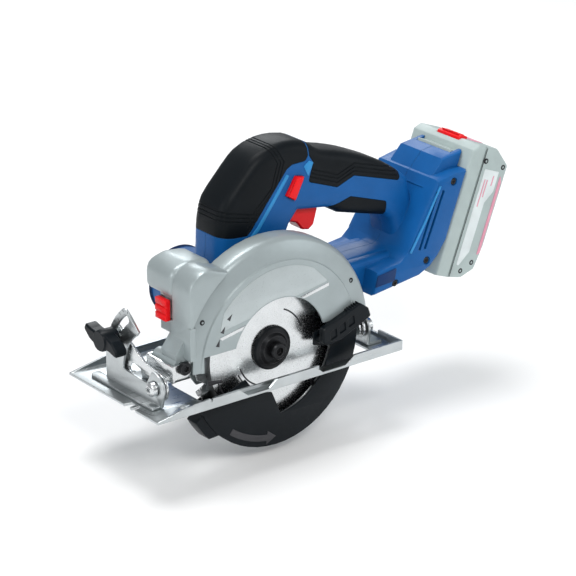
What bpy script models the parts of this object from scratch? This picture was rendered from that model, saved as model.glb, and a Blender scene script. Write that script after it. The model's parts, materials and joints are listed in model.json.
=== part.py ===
"""Cordless circular saw, 140 mm blade on the left.

X runs along the cut with the front at -X, +Y points away from the blade side and +Z is up.
The origin is on the sole's underside, at mid-width, under the arbor.
Lengths are in millimetres and MM turns them into metres.
"""

from math import cos, hypot, radians, sin

import bmesh
import bpy
from mathutils import Matrix, Vector

MM = 0.001
GAP = 0.3                        # clearance between touching pieces
ROUND = 48                       # segments of a large circle
SMALL = 14                       # segments of a small circle

# Sole plate
SOLE_FRONT, SOLE_REAR = -118.0, 109.0
SOLE_LEFT, SOLE_RIGHT = -57.5, 57.5
SHEET = 2.0                      # thickness of the pressed steel
FLANGE_TOP = 8.0
SLOT = (-71.0, 87.0, -48.5, -3.0)  # blade slot: x from, x to, y from, y to

# Blade drive
ARBOR = (0.0, 23.0)              # x, z
MOTOR = (-8.0, 46.1)
BLADE_Y = -34.5
BLADE_R = 70.0
BLADE_BODY = 1.1
BLADE_TEETH = 24
GEAR_Y = (-20.6, -12.6)
GEAR_TEETH, PINION_TEETH = 31, 8
GEAR_TIP, PINION_TIP = 19.2, 4.9

# Guards and casting
GUARD_R = 88.0
GUARD_FACE_Y = -46.8
WALL_Y = (-26.5, -24.3)          # far wall of the blade chamber
CASE_END_Y = -6.3                # open end of the gear case
COVER_Y = (-9.1, -6.6)

# Bevel and depth setting
BEVEL_PIVOT = (-31.7, 16.0)      # y, z
DEPTH_PIVOT = (-84.5, 31.0)      # x, z
CLAMP_ANGLE = 27.0
CLAMP_R = 54.3
DEPTH_ARC_R = 122.0

# Handle and battery
MID_Y = 3.5
BARREL_R = 27.5
BARREL_END_Y = 73.0
FOOT_HALF = 37.0
TRIGGER_TRAVEL = (2.1, 4.6)
RAIL_DIR = (0.353, 0.936)        # battery slide direction, x, z

PARTS = "circular_saw"


# ---------------------------------------------------------------- scene and materials

def clear_scene():
    for obj in list(bpy.data.objects):
        bpy.data.objects.remove(obj, do_unlink=True)
    bpy.context.scene.collection.children.link(bpy.data.collections.new(PARTS))


def material(name, colour, roughness, metallic=0.0):
    made = bpy.data.materials.new(name)
    made.use_nodes = True
    shader = made.node_tree.nodes["Principled BSDF"]
    shader.inputs["Base Color"].default_value = (*colour, 1.0)
    shader.inputs["Roughness"].default_value = roughness
    shader.inputs["Metallic"].default_value = metallic
    made.diffuse_color = (*colour, 1.0)
    return made


def make_materials():
    table = {
        "steel": ((0.55, 0.58, 0.59), 0.35, 1.0),
        "bright_steel": ((0.72, 0.73, 0.74), 0.22, 1.0),
        "cast": ((0.42, 0.47, 0.48), 0.45, 0.6),
        "blue": ((0.01, 0.10, 0.36), 0.38, 0.0),
        "black_rubber": ((0.008, 0.011, 0.014), 0.6, 0.0),
        "black_plastic": ((0.012, 0.015, 0.018), 0.42, 0.0),
        "red": ((0.75, 0.01, 0.012), 0.35, 0.0),
        "copper": ((0.72, 0.32, 0.15), 0.4, 1.0),
        "brass": ((0.75, 0.56, 0.25), 0.35, 1.0),
        "board": ((0.02, 0.16, 0.06), 0.5, 0.0),
        "pale_plastic": ((0.40, 0.47, 0.46), 0.45, 0.0),
        "label": ((0.02, 0.06, 0.16), 0.4, 0.0),
    }
    return {name: material(name, *row) for name, row in table.items()}


# ---------------------------------------------------------------- making meshes

def add(name, mesh, slot=None):
    """An object in the parts collection, smooth on its round faces."""
    obj = bpy.data.objects.new(name, mesh)
    bpy.data.collections[PARTS].objects.link(obj)
    if slot:
        mesh.materials.clear()
        mesh.materials.append(MATERIALS[slot])
    mesh.shade_smooth()
    mesh.set_sharp_from_angle(angle=radians(35))
    return obj


def mesh_from(bm, name):
    bmesh.ops.remove_doubles(bm, verts=bm.verts, dist=1e-7)
    bmesh.ops.recalc_face_normals(bm, faces=bm.faces)
    mesh = bpy.data.meshes.new(name)
    bm.to_mesh(mesh)
    bm.free()
    return mesh


def evaluated(obj):
    """A plain mesh of the object with its modifiers, which then replaces it."""
    graph = bpy.context.evaluated_depsgraph_get()
    mesh = bpy.data.meshes.new_from_object(obj.evaluated_get(graph))
    mesh.transform(obj.matrix_world)
    bpy.data.objects.remove(obj, do_unlink=True)
    return mesh


AXES = {
    "X": Matrix(((0, 0, 1), (1, 0, 0), (0, 1, 0))).to_4x4(),
    "Y": Matrix(((1, 0, 0), (0, 0, 1), (0, 1, 0))).to_4x4(),
    "Z": Matrix.Identity(4),
}


def prism(name, loops, low, high, axis="Y", slot=None, rim=0.0):
    """A flat outline, with any holes, drawn across an axis and extruded from low to high.

    Across X the outline is in (y, z), across Y in (x, z) and across Z in (x, y).
    The rim rounds the edges of both flat sides.
    """
    curve = bpy.data.curves.new(name, "CURVE")
    curve.dimensions = "2D"
    curve.fill_mode = "BOTH"
    curve.extrude = ((high - low) / 2 - rim) * MM
    curve.bevel_depth = rim * MM
    curve.bevel_resolution = 2 if rim > 3.6 else 1 if rim > 2 else 0
    curve.offset = -rim * MM
    for loop in map(spaced, loops):
        spline = curve.splines.new("POLY")
        spline.points.add(len(loop) - 1)
        spline.use_cyclic_u = True
        for point, (u, v) in zip(spline.points, loop):
            point.co = (u * MM, v * MM, 0, 1)
    guide = bpy.data.objects.new(name, curve)
    bpy.data.collections[PARTS].objects.link(guide)
    guide.location.z = (low + high) / 2 * MM
    bpy.context.view_layer.update()
    flat = evaluated(guide)
    bm = bmesh.new()
    bm.from_mesh(flat)
    bmesh.ops.transform(bm, matrix=AXES[axis], verts=bm.verts)
    return add(name, mesh_from(bm, name), slot)


def box(name, low, high, slot=None):
    bm = bmesh.new()
    bmesh.ops.create_cube(bm, size=1)
    for vert in bm.verts:
        for k in range(3):
            vert.co[k] = (low[k] if vert.co[k] < 0 else high[k]) * MM
    return add(name, mesh_from(bm, name), slot)


def rod(name, centre, radius, low, high, axis="Y", sides=SMALL, slot=None, tip=None):
    """A cylinder, or a cone to the radius tip, about an axis through centre."""
    bm = bmesh.new()
    top = radius if tip is None else tip
    bmesh.ops.create_cone(bm, cap_ends=True, segments=sides, radius1=radius * MM,
                          radius2=top * MM, depth=(high - low) * MM)
    shift = Matrix.Translation((centre[0] * MM, centre[1] * MM, (low + high) / 2 * MM))
    bmesh.ops.transform(bm, matrix=AXES[axis] @ shift, verts=bm.verts)
    return add(name, mesh_from(bm, name), slot)


def turned(name, profile, centre, axis="Y", sides=ROUND, slot=None):
    """A closed (radius, height) profile turned about an axis through centre."""
    bm = bmesh.new()
    verts = [bm.verts.new((r * MM, 0, h * MM)) for r, h in profile]
    for a, b in zip(verts, verts[1:]):
        bm.edges.new((a, b))
    if profile[0][0] > 0:
        bm.edges.new((verts[-1], verts[0]))
    flat = bpy.data.meshes.new(name)
    bm.to_mesh(flat)
    bm.free()
    guide = bpy.data.objects.new(name, flat)
    bpy.data.collections[PARTS].objects.link(guide)
    screw = guide.modifiers.new("turn", "SCREW")
    screw.steps = screw.render_steps = sides
    screw.use_merge_vertices = True
    screw.merge_threshold = 1e-6
    bpy.context.view_layer.update()
    bm = bmesh.new()
    bm.from_mesh(evaluated(guide))
    shift = Matrix.Translation((centre[0] * MM, centre[1] * MM, 0))
    bmesh.ops.transform(bm, matrix=AXES[axis] @ shift, verts=bm.verts)
    return add(name, mesh_from(bm, name), slot)


def boolean(obj, other, operation):
    """Applies a Boolean, then removes the other object."""
    modifier = obj.modifiers.new(operation, "BOOLEAN")
    modifier.operation = operation
    modifier.object = other
    bpy.context.view_layer.update()
    graph = bpy.context.evaluated_depsgraph_get()
    mesh = bpy.data.meshes.new_from_object(obj.evaluated_get(graph))
    obj.modifiers.clear()
    slots = [m for m in obj.data.materials]
    obj.data = mesh
    mesh.materials.clear()
    for slot in slots[:1]:
        mesh.materials.append(slot)
    bm = bmesh.new()
    bm.from_mesh(mesh)
    bmesh.ops.remove_doubles(bm, verts=bm.verts, dist=1e-6)
    bmesh.ops.dissolve_degenerate(bm, edges=bm.edges, dist=1e-6)
    for face in bm.faces:
        face.material_index = 0
    bm.to_mesh(mesh)
    bm.free()
    mesh.shade_smooth()
    mesh.set_sharp_from_angle(angle=radians(35))
    bpy.data.objects.remove(other, do_unlink=True)
    return obj


def cut(obj, *others):
    for other in others:
        boolean(obj, other, "DIFFERENCE")
    return obj


def join(obj, *others):
    for other in others:
        boolean(obj, other, "UNION")
    return obj


def keep(obj, other):
    return boolean(obj, other, "INTERSECT")


def main_body(obj):
    """Removes the loose slivers that a cut leaves beside the main body."""
    bm = bmesh.new()
    bm.from_mesh(obj.data)
    bodies, seen = [], set()
    for start in bm.verts:
        if start in seen:
            continue
        body, waiting = [], [start]
        seen.add(start)
        while waiting:
            vert = waiting.pop()
            body.append(vert)
            fresh = [e.other_vert(vert) for e in vert.link_edges if e.other_vert(vert) not in seen]
            seen.update(fresh)
            waiting += fresh
        bodies.append(body)
    bodies.sort(key=len)
    for body in bodies[:-1]:
        bmesh.ops.delete(bm, geom=body, context="VERTS")
    bm.to_mesh(obj.data)
    bm.free()
    return obj


def copy_of(obj, name):
    twin = bpy.data.objects.new(name, obj.data.copy())
    bpy.data.collections[PARTS].objects.link(twin)
    return twin


def remove(obj):
    bpy.data.objects.remove(obj, do_unlink=True)


# ---------------------------------------------------------------- outlines

def polar(centre, radius, angle):
    return (centre[0] + radius * cos(radians(angle)), centre[1] + radius * sin(radians(angle)))


def arc(centre, radius, start, end, steps):
    return [polar(centre, radius, start + (end - start) * k / steps) for k in range(steps + 1)]


def circle(centre, radius, sides=12):
    return [polar(centre, radius, 360 * k / sides) for k in range(sides)]


def rounded(points, radii, steps=5):
    """The polygon with each corner rounded by its radius."""
    if not isinstance(radii, (list, tuple)):
        radii = [radii] * len(points)
    made = []
    for k, (here, radius) in enumerate(zip(points, radii)):
        if radius <= 0:
            made.append(here)
            continue
        before = Vector(points[k - 1]) - Vector(here)
        after = Vector(points[(k + 1) % len(points)]) - Vector(here)
        half = before.angle(after) / 2
        reach = min(radius / max(1e-6, abs(sin(half) / cos(half))), before.length / 2, after.length / 2)
        start = Vector(here) + before.normalized() * reach
        end = Vector(here) + after.normalized() * reach
        for n in range(steps + 1):
            t = n / steps
            point = start * (1 - t) ** 2 + Vector(here) * 2 * t * (1 - t) + end * t ** 2
            made.append((point.x, point.y))
    return made


def slot_outline(centre, radius, start, end, half_width, steps=8):
    """A curved slot with round ends about a centre."""
    ends = []
    for angle, side in ((end, 1), (start, -1)):
        tip = polar(centre, radius, angle)
        base = angle if side > 0 else angle + 180
        ends.append(arc(tip, half_width, base, base + 180, 4))
    outer = arc(centre, radius + half_width, start, end, steps)
    inner = arc(centre, radius - half_width, end, start, steps)
    return outer[:-1] + ends[0][:-1] + inner[:-1] + ends[1][:-1]


def hull(points):
    """Convex outline of a set of points."""
    ordered = sorted(set(points))

    def half(sequence):
        chain = []
        for p in sequence:
            while len(chain) > 1:
                (ax, ay), (bx, by) = chain[-2], chain[-1]
                if (bx - ax) * (p[1] - ay) - (by - ay) * (p[0] - ax) > 0:
                    break
                chain.pop()
            chain.append(p)
        return chain[:-1]

    return half(ordered) + half(ordered[::-1])


def gear_outline(centre, teeth, tip, root, turn=0.0):
    made = []
    for k in range(teeth):
        for part, radius in ((0.0, root), (0.28, tip), (0.5, tip), (0.78, root)):
            made.append(polar(centre, radius, turn + 360 * (k + part) / teeth))
    return made


def smooth(points, per=2):
    """The open line of points with others between them, on a curve through them all."""
    made = []
    padded = [points[0]] + list(points) + [points[-1]]
    for a, b, c, d in zip(padded, padded[1:], padded[2:], padded[3:]):
        for k in range(per):
            t = k / per
            made.append(tuple(
                0.5 * (2 * q + (r - p) * t + (2 * p - 5 * q + 4 * r - s) * t * t
                       + (3 * q - p - 3 * r + s) * t ** 3)
                for p, q, r, s in zip(a, b, c, d)))
    return made + [points[-1]]


def spaced(points, least=0.08):
    """The closed outline without points that coincide."""
    return [p for k, p in enumerate(points)
            if hypot(p[0] - points[k - 1][0], p[1] - points[k - 1][1]) > least]


def inset(points, distance):
    """The counterclockwise outline moved inward by a distance."""
    points = spaced(points)
    moved = []
    for k, here in enumerate(points):
        before, after = Vector(points[k - 1]), Vector(points[(k + 1) % len(points)])
        a = (Vector(here) - before).normalized()
        b = (after - Vector(here)).normalized()
        normal = Vector((-a.y - b.y, a.x + b.x)).normalized()
        scale = distance / max(0.5, normal.dot(Vector((-a.y, a.x))))
        moved.append((here[0] + normal.x * scale, here[1] + normal.y * scale))
    return moved


def pivot(obj, x, y, z):
    """Moves the object's origin to a point, leaving the shape in place."""
    point = Vector((x, y, z)) * MM
    obj.data.transform(Matrix.Translation(-point))
    obj.location = point
    return obj


# ---------------------------------------------------------------- sole plate and brackets

def sole_plate():
    left, right, low = SOLE_LEFT, SOLE_RIGHT, SOLE_FRONT
    outer = [(low, left), (SOLE_REAR, left), (SOLE_REAR, right), (low, right),
             (low, -15), (-112, -16), (-112, -21), (low, -22), (low, -24.4), (-112, -25),
             (-112, -27.8), (low, -28.4)]
    slot = rounded([(SLOT[0], SLOT[2] + 6), (SLOT[0] + 6, SLOT[2]), (SLOT[1], SLOT[2]),
                    (SLOT[1], SLOT[3]), (SLOT[0], SLOT[3])], [3, 3, 2, 2, 8], 3)
    holes = [circle((-88, -46), 2.2, 12), circle((-80, 30), 2.6, 12), circle((60, 30), 2.6, 12)]
    plate = prism("sole_plate", [outer, slot] + holes, 0, SHEET, "Z", "steel")
    top, base = FLANGE_TOP, SHEET / 2
    near = [(low, base), (SOLE_REAR, base), (SOLE_REAR, top), (62.4, top), (53.3, SHEET),
            (32, SHEET), (24.7, top), (-10.7, top), (-17.8, SHEET), (-37.7, SHEET), (-45, top),
            (-69, top), (-70, 5), (-71, top), (-85, top), (low, SHEET)]
    far = [(low, base), (SOLE_REAR, base), (SOLE_REAR, top), (-85, top), (low, SHEET)]
    rear = [(left + 1, base), (right - 1, base), (right - 1, top), (-17.5, top), (-17.5, 5),
            (-29.9, 5), (-29.9, top), (left + 1, top)]
    return join(plate,
                prism("near", [near], left, left + SHEET),
                prism("far", [far], right - SHEET, right),
                prism("rear", [rear], SOLE_REAR - SHEET, SOLE_REAR, "X"),
                box("lip", (SLOT[0] + 8, -50.5, 1), (34, -48.9, 4.6)))


def front_bracket():
    pivot_at = BEVEL_PIVOT
    ear = arc(pivot_at, 12, 195, 75, 8)
    wall = [(-40, 3)] + ear + [(-22, 17)]
    wall += [polar(pivot_at, 40, 3)] + arc(pivot_at, 40, 12, 57, 6) + [polar(pivot_at, 41.5, 63)]
    wall += rounded([(-3.5, 61.5), (4.4, 67.6), polar(pivot_at, 63, 50)], [0, 3, 0], 3)[:-1]
    wall += arc(pivot_at, 63, 50, 13, 8) + [(30, 27), (30, 3)]
    strip = [(-110, -38.5), (-101, -38.5), (-101, 42.5), (-107, 42.5), (-110, 39.5)]
    made = prism("front_bracket", [strip], SHEET + GAP, 2 * SHEET + GAP, "Z", "steel")
    slot = slot_outline(pivot_at, CLAMP_R, CLAMP_ANGLE - 1, CLAMP_ANGLE + 25, 3.0)
    hole = circle(pivot_at, 3.9)
    return join(made, prism("wall", [wall[::-1], slot, hole], -103, -101, "X"))


def tilt_bracket():
    pivot_at = BEVEL_PIVOT
    arm = arc(pivot_at, 11, 270, 80, 10) + [(-14, 30), polar(pivot_at, 46, 33)]
    arm += [polar(pivot_at, 62, 33)] + arc(pivot_at, 62, 30, -3, 6) + [(20, 9)]
    slot = slot_outline(pivot_at, CLAMP_R, 6, CLAMP_ANGLE + 1, 3.0, 6)
    window = rounded([(-12, 14), (2, 13), (6, 19), (0, 25), (-10, 23)], 2, 2)
    made = prism("tilt_bracket", [arm[::-1], slot, circle(pivot_at, 3.9), window],
                 -99.5, -97.5, "X", "bright_steel")
    cheek = [(-93, 22.7), (-81, 22.7), (-78, 25.7), (-78, 34), (-93, 34)]
    pin = circle(DEPTH_PIVOT, 3.6, 16)
    return join(made,
                box("tie", (-98.5, -38, 22), (-93, -12, 25)),
                box("front", (-94, -42.5, 21), (-92, -9.5, 33.5)),
                prism("cheek", [cheek, pin], -42.5, -40.5),
                prism("cheek", [cheek, pin], -11.5, -9.5))


def rear_bracket():
    pivot_at = BEVEL_PIVOT
    ear = [(-39.5, 3.3)] + arc(pivot_at, 9.5, 190, 20, 10) + [(-22, 11), (-16, 3.3)]
    made = prism("rear_bracket", [ear[::-1], circle(pivot_at, 3.9)], 89, 91, "X", "steel")
    return join(made, box("foot", (90, -39.5, SHEET + GAP), (103, -12, 2 * SHEET + GAP)))


def pivot_bolt(name, head, end):
    profile = [(0, head), (3.2, head + 0.2), (5.4, head + 1.8), (6, head + 4.6), (3.5, head + 4.6),
               (3.5, end), (0, end)]
    made = turned(name, profile, BEVEL_PIVOT, "X", SMALL, "bright_steel")
    return cut(made, prism("drive", [gear_outline(BEVEL_PIVOT, 6, 2.6, 1.9)], head - 1, head + 2.4, "X"))


def rear_pivot_bolt():
    profile = [(0, 83), (6, 83), (6, 84.6), (3.5, 84.6), (3.5, 93), (5.6, 93), (5.6, 96.5), (0, 96.5)]
    return turned("rear_pivot_bolt", profile, BEVEL_PIVOT, "X", SMALL, "bright_steel")


def bevel_bolt():
    centre = polar(BEVEL_PIVOT, CLAMP_R, CLAMP_ANGLE)
    profile = [(0, -113), (2.5, -113), (2.5, -97.2), (5, -97.2), (5, -94.5), (0, -94.5)]
    made = turned("bevel_bolt", profile, centre, "X", 16, "bright_steel")
    return pivot(made, -100, *BEVEL_PIVOT)


def wing_knob():
    centre = polar(BEVEL_PIVOT, CLAMP_R, CLAMP_ANGLE)
    y, z = centre
    wing = [(y - 5, z - 5), (y + 4, z - 6.5), (y + 14, z - 3), (y + 21, z + 3), (y + 20, z + 8),
            (y + 12, z + 6), (y + 5, z + 5)]
    wing = rounded(wing, 3, 2)
    other = [(2 * y - u, 2 * z - v) for u, v in wing]
    hub = [(2.9, -104), (8, -104), (8.5, -116), (7.5, -118), (0, -118), (0, -113.4), (2.9, -113.4)]
    made = turned("wing_knob", hub, centre, "X", 14, "black_plastic")
    made = cut(made, rod("seat", centre, 2.9, -113.4, -100, "X"))
    made = join(made, prism("wing", [wing], -117, -106.5, "X", rim=1.2),
                prism("wing", [other], -117, -106.5, "X", rim=1.2))
    made = cut(made, rod("seat", centre, 2.9, -113.4, -100, "X"))
    return pivot(made, -110, *centre)


# ---------------------------------------------------------------- depth setting

def depth_arc():
    pivot_at = DEPTH_PIVOT
    slot = slot_outline(pivot_at, DEPTH_ARC_R, -9.5, 27.5, 3.4, 8)
    plate = arc(pivot_at, 129, -11.5, 30.5, 9) + arc(pivot_at, 115, 30.5, -11.5, 9)
    strap = [(30, 8), (87, 8), (87, 20), (38, 20)]
    made = prism("depth_arc", [plate, slot], -23.8, -21.8, "Y", "bright_steel")
    ear = [(-21.9, 8), (-21.9, 20), (-24, 24)] + arc(BEVEL_PIVOT, 8, 80, 270, 8)
    return join(made,
                cut(prism("strap", [strap], -23.8, -21.8),
                    rod("room", DEPTH_PIVOT, 126.5, -24.5, -21, sides=72)),
                prism("ear", [ear, circle(BEVEL_PIVOT, 3.9)], 85.3, 87.3, "X"))


def depth_pivot_pin():
    profile = [(0, -46.2), (4.6, -46.2), (5, -45.6), (5, -42.8), (3.2, -42.8), (3.2, -7.2), (0, -7.2)]
    made = turned("depth_pivot_pin", profile, DEPTH_PIVOT, "Y", SMALL, "black_plastic")
    return cut(made, prism("drive", [gear_outline(DEPTH_PIVOT, 6, 2.7, 2.0)], -47, -44.4))


def clamp_centre():
    return polar(DEPTH_PIVOT, DEPTH_ARC_R, -7)


def depth_clamp_bolt():
    profile = [(0, -27.7), (5, -27.7), (5, -26.8), (2.8, -26.8), (2.8, -13.4), (0, -13.4)]
    return turned("depth_clamp_bolt", profile, clamp_centre(), "Y", 16, "bright_steel")


def depth_lever():
    x, z = clamp_centre()
    made = rod("depth_lever", (x, z), 7.5, -21.4, -13.7, "Y", 14, "black_plastic")
    blade = rounded([(x - 4, z - 6), (x + 8, z - 7), (x + 38, z - 3), (x + 38, z + 6), (x, z + 7)], 2, 2)
    made = join(made, prism("arm", [blade], -19, -14, "Y", rim=1.2))
    made = cut(made, rod("bore", (x, z), 3.2, -22, -13, "Y", 10))
    return pivot(made, x, -17.5, z)


# ---------------------------------------------------------------- casting and upper guard

def column_outline():
    top = arc((-65.5, 86.5), 16.8, 180, 62, 8)
    return [(-82.3, 36.5)] + top + [(-44, 97), (-50, 60), (-60, 40), (-72, 36.5)]


def gear_housing():
    disc = arc(ARBOR, 87, 168, -11, 26)
    disc = [(x, max(6.2, z)) for x, z in disc if x < 82 or z > 32]
    disc += [(82, 30), (80, 6.2), (-62, 6.2), (-77, 30)]
    disc = hull(disc)
    made = prism("gear_housing", [disc], *WALL_Y, "Y", "cast")
    case = hull(circle(ARBOR, 21.8, 24) + circle(MOTOR, 29.6, 28))
    column = prism("column", [column_outline()[::-1]], -48.5, WALL_Y[1], rim=3)
    cut(column, rod("guard", ARBOR, GUARD_R + 0.6, -60, WALL_Y[0], sides=72))
    strip = prism("strip", [[(-82.3, 36.5), (-77.6, 36.5), (-77.6, 62), (-82.3, 62)]], -48.5, -24.5)
    cut(column, box("screw room", (-90, -49.5, 20), (-76.8, -40.2, 34.8)))
    chute = [(-81, 52), (-82.4, 50), (-89.2, 40.8), (-88.8, 36)] + arc(DEPTH_PIVOT, 7, 150, 350, 10)
    chute = prism("chute", [chute], -39.9, -21.6)
    lug = rod("lug", DEPTH_PIVOT, 6.8, -39.9, -11.9, sides=16)
    over = rounded([(-82.2, 77), (-50, 77), (-45, 101), (-66, 103.2), (-82.2, 99)], [7, 7, 7, 14, 14], 4)
    over = prism("over", [over], WALL_Y[0], 8.5, rim=5)
    back = prism("back", [[(-79.5, 50), (-36.8, 50), (-36.8, 66), (-50, 84), (-79.5, 84)]], WALL_Y[0] + 1, -8)
    join(made, prism("case", [case], WALL_Y[0] + 1, CASE_END_Y),
         rod("flange", MOTOR, 29.6, CASE_END_Y - 1, 3.2, sides=28), back, column, strip, chute, lug, over,
         rod("hub", ARBOR, 14.2, -29.8, WALL_Y[1], sides=20))
    room = hull(circle(ARBOR, 19.8, 24) + circle(MOTOR, 26.8, 28))
    return cut(made, prism("gear room", [room], -21.2, 5),
               rod("stub", MOTOR, 27.9, 3.3, 20, sides=32),
               rod("bearing", ARBOR, 11.6, -31, -24.2, sides=20), rod("spindle", ARBOR, 7.2, -31, -20),
               rod("pin", DEPTH_PIVOT, 3.7, -45, -5, sides=12),
               rod("clamp", clamp_centre(), 3.3, -30, -20, sides=12),
               box("button room", (-86, -22.4, 59.5), (-77.2, -8.1, 76.5)))


def upper_guard():
    profile = [(88, -26.8), (88, -38), (86.5, -41.5), (84, -43.2), (72, -45.6), (71, GUARD_FACE_Y),
               (42.6, GUARD_FACE_Y), (42.6, -45.0), (70.4, -45.0), (71.4, -43.9), (82.6, -41.6),
               (85, -40.6), (86.2, -37.8), (86.2, -26.8)]
    made = turned("upper_guard", profile, ARBOR, "Y", 60, "cast")
    foot = box("foot", (-77.3, -47.5, 24), (-69, -43, 37))
    keep_in = join(box("upper", (-95, -60, 36), (95, 0, 130)), foot)
    cut(keep_in, box("front", (-99, -60, 20), (-77.3, 0, 62)))
    return keep(made, keep_in)


def gearbox_cover():
    outline = hull(circle(ARBOR, 19.3, 20) + circle(MOTOR, 26.2, 24))
    return prism("gearbox_cover", [outline, circle(ARBOR, 7.8), circle(MOTOR, 6.3)], *COVER_Y, "Y", "cast")


def ring(name, centre, inner, outer, low, high, slot="bright_steel", sides=16):
    profile = [(inner, high), (outer, high), (outer, low), (inner, low)]
    return turned(name, profile, centre, "Y", sides, slot)


def spindle_lock():
    made = box("spindle_lock", (-85, -22, 60), (-80.6, -8.5, 76), "red")
    for z in (64.6, 70.2):
        cut(made, box("groove", (-86, -23, z), (-84.2, -8, z + 1.2)))
    return pivot(made, -82.8, -15.2, 68)


# ---------------------------------------------------------------- blade drive

def spindle():
    profile = [(0, -24), (3.3, -24), (3.3, -35.6), (6, -35.6), (6, -22.4), (5, -22.4), (5, -12.3),
               (4, -12.3), (4, -6.9), (0, -6.9)]
    return turned("spindle", profile, ARBOR, "Y", 16, "bright_steel")


def drive_gear():
    outline = gear_outline(ARBOR, GEAR_TEETH, GEAR_TIP, GEAR_TIP - 2.4)
    return prism("drive_gear", [outline, circle(ARBOR, 5.5, 12)], *GEAR_Y, "Y", "steel")


def inner_flange():
    profile = [(6.3, -30.2), (17, -30.2), (17, -33.6), (9.7, -33.6), (9.7, -35.1), (6.3, -35.1)]
    return turned("inner_flange", profile, ARBOR, "Y", 24, "black_plastic")


def saw_blade():
    outline = []
    step = 360 / BLADE_TEETH
    for k in range(BLADE_TEETH):
        start = 90 + k * step
        outline += [polar(ARBOR, BLADE_R, start), polar(ARBOR, BLADE_R - 2.5, start + 0.55 * step),
                    polar(ARBOR, BLADE_R - 8.5, start + 0.88 * step)]
    half = BLADE_BODY / 2
    loops = [outline, circle(ARBOR, 10.1, 20)]
    return prism("saw_blade", loops, BLADE_Y - half, BLADE_Y + half, "Y", "bright_steel")


def outer_flange():
    profile = [(3.6, -35.4), (17, -35.4), (17, -37), (14.5, -38.6), (12.6, -38.6), (10.6, -41),
               (3.6, -41)]
    made = turned("outer_flange", profile, ARBOR, "Y", 24, "black_plastic")
    return cut(made, rod("room", ARBOR, 6.6, -36, -35, sides=16))


def blade_bolt():
    profile = [(0, -46.4), (5.6, -46.4), (6.6, -45.4), (6.6, -41.3), (3, -41.3), (3, -26), (0, -26)]
    made = turned("blade_bolt", profile, ARBOR, "Y", 14, "black_plastic")
    return cut(made, rod("socket", ARBOR, 3.6, -47, -43.4, sides=6))


def motor_shaft():
    made = turned("motor_shaft", [(0, -21), (2.5, -21), (2.5, 66), (0, 66)], MOTOR, "Y", 10, "bright_steel")
    teeth = gear_outline(MOTOR, PINION_TEETH, PINION_TIP, PINION_TIP - 1.8)
    return join(made, prism("pinion", [teeth], -20.6, GEAR_Y[1]))


def rotor_core():
    core = gear_outline(MOTOR, 8, 11, 9.4)
    return prism("rotor_core", [core, circle(MOTOR, 2.8, 16)], 14, 42, "Y", "copper")


def cooling_fan():
    made = ring("cooling_fan", MOTOR, 3.0, 22, -1, 0.8, "black_plastic", 20)
    for k in range(7):
        foot, tip = polar(MOTOR, 5, 360 / 7 * k), polar(MOTOR, 21, 360 / 7 * k + 18)
        side = Vector((foot[1] - tip[1], tip[0] - foot[0])).normalized() * 0.7
        vane = [(foot[0] - side.x, foot[1] - side.y), (tip[0] - side.x, tip[1] - side.y),
                (tip[0] + side.x, tip[1] + side.y), (foot[0] + side.x, foot[1] + side.y)]
        join(made, prism("vane", [vane], 0, 7))
    return join(made, ring("boss", MOTOR, 3.0, 6, 0, 7, None, 14))


def stator():
    profile = [(12, 44), (24.2, 44), (24.2, 12), (12, 12)]
    made = turned("stator", profile, MOTOR, "Y", 24, "copper")
    return made


def motor_housing():
    r, end = BARREL_R, BARREL_END_Y
    profile = [(0, end - 2.6), (r - 7, end - 2.6), (r - 3.6, end - 5.4), (r - 2.6, end - 9), (r - 2.6, 3.5),
               (r, 3.5), (r, end - 5.5), (r - 0.9, end - 2.8), (r - 3.2, end - 0.7), (r - 6.5, end), (0, end)]
    made = turned("motor_housing", profile[::-1], MOTOR, "Y", 36, "blue")
    join(made, ring("seat", MOTOR, 6.4, 9, end - 8.6, end - 2, None, 16))
    for k in range(5):
        u = MOTOR[0] - 12 + 6 * k
        cut(made, box("vent", (u - 1.2, end - 6, MOTOR[1] - 20.5), (u + 1.2, end + 1, MOTOR[1] - 11.5)))
    return made


def rating_label():
    made = ring("rating_label", MOTOR, BARREL_R + 0.35, BARREL_R + 1.0, 30, 62, "label", 36)
    a, b = polar(MOTOR, 60, 158), polar(MOTOR, 60, 112)
    return keep(made, prism("sector", [[MOTOR, a, polar(MOTOR, 70, 135), b]], 0, 80))


# ---------------------------------------------------------------- lower guard

def lower_guard():
    front, rear = -156, 14
    near = [polar(ARBOR, 76, front)] + arc(ARBOR, 76, front, rear, 26)[1:]
    near += arc(ARBOR, 52, rear, 9, 2) + [polar(ARBOR, 35, 8), polar(ARBOR, 35, -8)]
    near += arc(ARBOR, 52, -10, -86, 12) + [polar(ARBOR, 33, -98)] + arc(ARBOR, 33, -110, -150, 6)
    made = prism("lower_guard", [near], -42.6, -41.2, "Y", "black_plastic")
    rim = arc(ARBOR, 76, front, rear, 26) + arc(ARBOR, 74, rear, front, 26)
    bump = [polar(ARBOR, 75, -153)] + arc(ARBOR, 83, -151, -138, 4) + [polar(ARBOR, 75, -133)]
    far = arc(ARBOR, 76, front, rear, 26) + arc(ARBOR, 60, rear, -45, 8)
    far += [polar(ARBOR, 17.5, -20)] + arc(ARBOR, 17.5, 0, 180, 10) + [polar(ARBOR, 17.5, -156)]
    far += arc(ARBOR, 60, -135, front, 4)
    return pivot(join(made, prism("rim", [rim], -42, -28.6), prism("bump", [bump], -41.2, -29),
                      cut(prism("far", [far], -29.6, -28.1), rod("hub", ARBOR, 14.8, -31, -25, sides=20))),
                 ARBOR[0], -35, ARBOR[1])


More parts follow.
